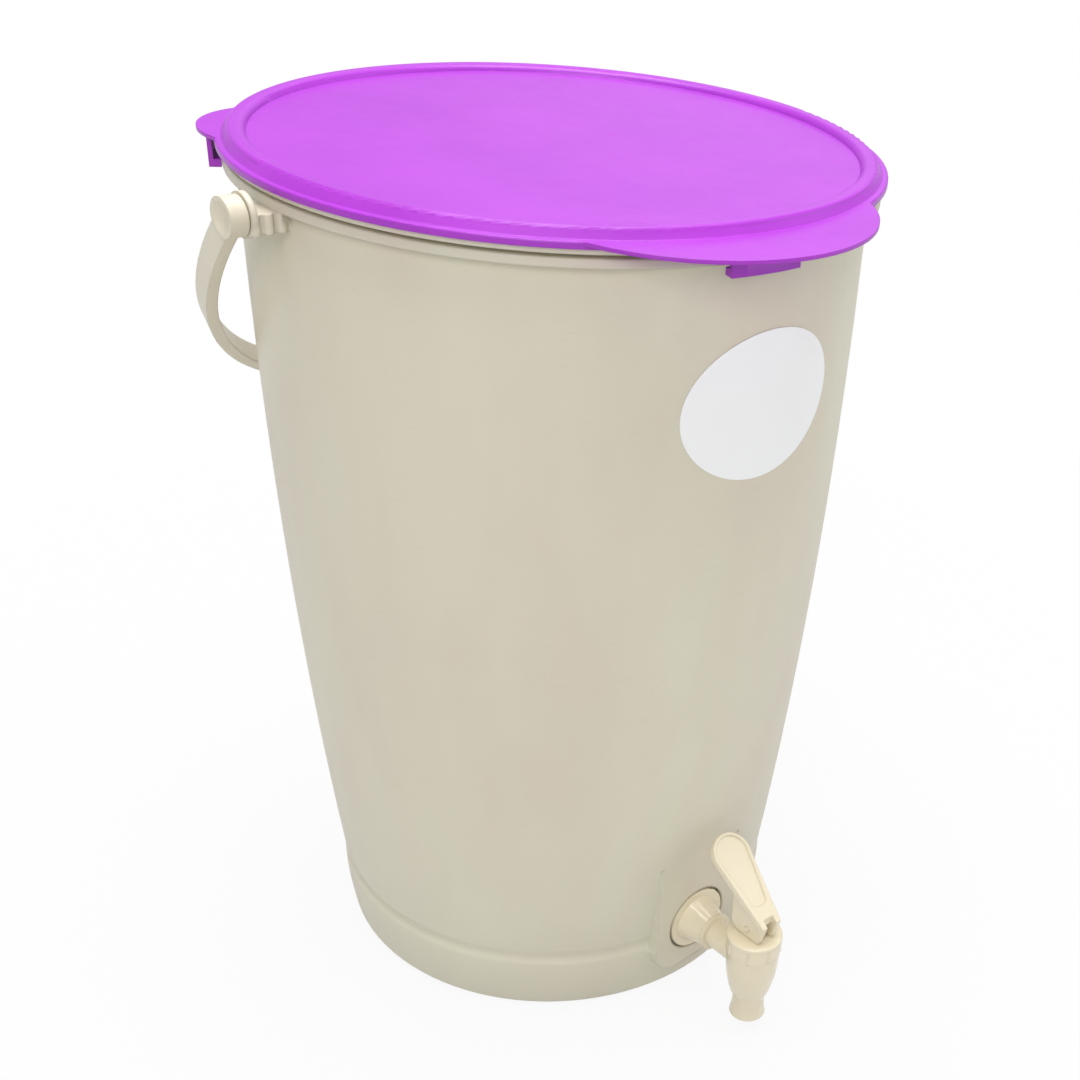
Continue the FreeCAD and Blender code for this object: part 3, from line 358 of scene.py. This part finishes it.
soft = add_node(tree, "GeometryNodeSetShadeSmooth", _0=weld.outputs[0])
painted = add_node(tree, "GeometryNodeSetMaterial", _0=soft.outputs[0],
                   Material=given.outputs["Plastic"])
add_node(tree, "NodeGroupOutput", _0=painted.outputs[0])

repeat = cap_cut.modifiers.new("grooves", "NODES")
repeat.node_group = tree
sizes = {"Grooves": GROOVES, "Turn": GROOVE_TURN, "Axis": (*TAP_AXIS, 0.0), "Plastic": ivory}
for socket in panel.items_tree:
    if socket.name in sizes:
        repeat[socket.identifier] = sizes[socket.name]
cap_cut.modifiers.new("even faces", "WEIGHTED_NORMAL")
ready = cap_cut.evaluated_get(bpy.context.evaluated_depsgraph_get())
cap = bpy.data.meshes.new_from_object(ready)
bpy.data.objects.remove(cap_cut)
finished_piece(cap, "tap_cap", ivory, "bucket", "tap_bonnet")

# Tap lever
# The thumb paddle of the same ivory plastic, dished inside a raised border. Its forked foot holds
# the pin and rocks on the cap. Its corners are round enough to show, so they are real bevels.

moulded_copy("tap_lever", "tap_paddle", ivory, "lever", round_mm=0.45)

# False floor
# A perforated plate of the bucket's beige plastic, moulded in one with its four legs. It stands
# loose on the bucket's floor and keeps the waste above the liquid.

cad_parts["strainer_plate"].data.materials[0] = beige

# Label
# An oval of white vinyl film, cut to shape with a die and pressed on the wall under the lid's tab.
# Its glue holds it flat to the curve of the wall, and its face is plain.

# Vinyl looks even and white, with a weak sheen. Its coat is mottled over 1 mm, and the wall under
# it gives slight waves 45 mm apart.
MOTTLE_MM, WAVE_MM, WAVE_DEPTH = 1.11, 45.5, 0.0004
vinyl = bpy.data.materials.new("white label vinyl")
vinyl.use_nodes = True
tree = vinyl.node_tree
skin = tree.nodes["Principled BSDF"]
skin.inputs["IOR"].default_value = 1.46
place = add_node(tree, "ShaderNodeTexCoord").outputs["Object"]
mottle = add_node(tree, "ShaderNodeTexNoise", {"Scale": apart(MOTTLE_MM), "Detail": 4.0},
                  Vector=place)
wave = add_node(tree, "ShaderNodeTexNoise", {"Scale": apart(WAVE_MM), "Detail": 2.0}, Vector=place)
shade = add_node(tree, "ShaderNodeMix",
                 {"data_type": "RGBA", 6: linear("#F7F7F6"), 7: linear("#F1F1F0")},
                 _0=wave.outputs["Fac"])
tree.links.new(shade.outputs[2], skin.inputs["Base Color"])
dull = add_node(tree, "ShaderNodeMapRange", {"To Min": 0.34, "To Max": 0.5},
                Value=mottle.outputs["Fac"])
tree.links.new(dull.outputs["Result"], skin.inputs["Roughness"])
press = add_node(tree, "ShaderNodeBump", {"Strength": 0.15, "Distance": WAVE_DEPTH},
                 Height=wave.outputs["Fac"])
tree.links.new(press.outputs["Normal"], skin.inputs["Normal"])
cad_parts["front_label"].data.materials[0] = vinyl

# Handle
# A flat bail that hangs behind the bucket, moulded separately, from a batch of beige polypropylene
# that is a little warmer in colour. Its round dished ends snap on the bucket's pegs.

# Hands have polished the satin a little, so it shines more than the wall and shows more rubbing.
warm = moulded_plastic("moulded warm beige polypropylene", "#DAD2BD", "#D4CBB4", "#BDB49C",
                       rough=0.36, grain=0.25, corner_mm=1.0, scuff=0.3)
moulded_copy("handle", "bail", warm, "handle")

# Lid
# Purple polypropylene: a dished panel inside a raised ridge, a flange with a short skirt, a wide
# thumb tab, two hanging ears and three hook clips that snap under the bucket's lip.

# A finer mould than the bucket's: a soft gloss that draws the ridge as one long highlight.
purple = moulded_plastic("moulded purple polypropylene", "#A637C0", "#9F33BA", "#8425A2",
                         rough=0.34, grain=0.15, corner_mm=0.7, scuff=0.2, mirror=0.4)
moulded_copy("lid", "lid_moulding", purple, "lid")

# Studio
# A white paper floor without a horizon, four large soft lamps, and the camera at the photograph's
# angle. The world is white to the camera alone and lights the object more weakly.

FLOOR_HALF = 30.0
corners = [(-1, -1), (1, -1), (1, 1), (-1, 1)]
floor_mesh = bpy.data.meshes.new("floor")
floor_mesh.from_pydata([(x * FLOOR_HALF, y * FLOOR_HALF, 0) for x, y in corners], [], [(0, 1, 2, 3)])
floor = bpy.data.objects.new("floor", floor_mesh)
bpy.context.scene.collection.objects.link(floor)
# Matte paper shows the object's shadow close by, and turns plain white 0.25 to 0.8 m away.
SHADOW_NEAR, SHADOW_FAR, WHITE_NEAR = 0.25, 0.8, 0.91
paper = bpy.data.materials.new("white studio paper")
paper.use_nodes = True
tree = paper.node_tree
tree.nodes.clear()
out = add_node(tree, "ShaderNodeOutputMaterial")
matte = add_node(tree, "ShaderNodeBsdfDiffuse", {"Color": linear("#CCCCCC")})
glow = add_node(tree, "ShaderNodeEmission", {"Color": (1.0, 1.0, 1.0, 1.0), "Strength": 1.0})
ray = add_node(tree, "ShaderNodeLightPath")
seen_or_glossy = add_node(tree, "ShaderNodeMath", {"operation": "MAXIMUM"},
                          _0=ray.outputs["Is Camera Ray"], _1=ray.outputs["Is Glossy Ray"])
looked_at = add_node(tree, "ShaderNodeMath", {"operation": "MAXIMUM"},
                     _0=seen_or_glossy.outputs[0], _1=ray.outputs["Is Transmission Ray"])
place = add_node(tree, "ShaderNodeTexCoord").outputs["Object"]
away = add_node(tree, "ShaderNodeVectorMath", {"operation": "LENGTH"}, _0=place)
plain = add_node(tree, "ShaderNodeMapRange", {
    "From Min": SHADOW_NEAR, "From Max": SHADOW_FAR, "To Min": WHITE_NEAR, "To Max": 1.0},
    Value=away.outputs["Value"])
share = add_node(tree, "ShaderNodeMath", {"operation": "MULTIPLY"},
                 _0=looked_at.outputs[0], _1=plain.outputs[0])
mixed = add_node(tree, "ShaderNodeMixShader",
                 _0=share.outputs[0], _1=matte.outputs[0], _2=glow.outputs[0])
tree.links.new(mixed.outputs[0], out.inputs["Surface"])
floor_mesh.materials.append(paper)

world = bpy.data.worlds.new("studio")
bpy.context.scene.world = world
world.use_nodes = True
tree = world.node_tree
tree.nodes.clear()
out = add_node(tree, "ShaderNodeOutputWorld")
seen = add_node(tree, "ShaderNodeBackground", {"Color": (1.0, 1.0, 1.0, 1.0), "Strength": 1.0})
lit = add_node(tree, "ShaderNodeBackground", {"Color": linear("#F6F8FC"), "Strength": 0.46})
ray = add_node(tree, "ShaderNodeLightPath")
mixed = add_node(tree, "ShaderNodeMixShader",
                 _0=ray.outputs["Is Camera Ray"], _1=lit.outputs[0], _2=seen.outputs[0])
tree.links.new(mixed.outputs[0], out.inputs["Surface"])

# each lamp's place and width in metres, and its power in watts; all point at the bucket's middle
LAMPS = {
    "overhead lamp": ((0.0, 0.1, 2.6), 2.0, 70.0),
    "key lamp": ((-1.6, -1.4, 1.5), 1.1, 19.0),
    "fill lamp": ((1.6, -1.3, 0.9), 1.6, 8.0),
    "back lamp": ((1.6, 1.35, 1.75), 1.9, 4.0),
}
BUCKET_MIDDLE = Vector((0, 0, 0.22))
for name, (place, width, watts) in LAMPS.items():
    lamp = bpy.data.lights.new(name, "AREA")
    lamp.shape = "DISK"
    lamp.size = width
    lamp.energy = watts
    holder = bpy.data.objects.new(name, lamp)
    holder.location = place
    holder.rotation_euler = (BUCKET_MIDDLE - Vector(place)).to_track_quat("-Z", "Y").to_euler()
    bpy.context.scene.collection.objects.link(holder)

# where the photograph was taken from, as fitted to the edges of the bucket, the lid and the tap
CAMERA_PLACE = (-0.43234, -0.54838, 0.58401)
CAMERA_RIGHT, CAMERA_UP = Vector((0.69688, -0.710964, 0.09428)), Vector((0.331314, 0.435728, 0.836882))
lens = bpy.data.cameras.new("camera")
lens.sensor_width = 36.0
lens.lens = 50.586
lens.shift_x = -0.24074
lens.shift_y = 0.13426
camera = bpy.data.objects.new("camera", lens)
facing = Matrix((CAMERA_RIGHT, CAMERA_UP, CAMERA_RIGHT.cross(CAMERA_UP))).transposed()
camera.matrix_world = Matrix.Translation(CAMERA_PLACE) @ facing.to_4x4()
bpy.context.scene.collection.objects.link(camera)
bpy.context.scene.camera = camera
bpy.context.scene.view_settings.view_transform = "Standard"
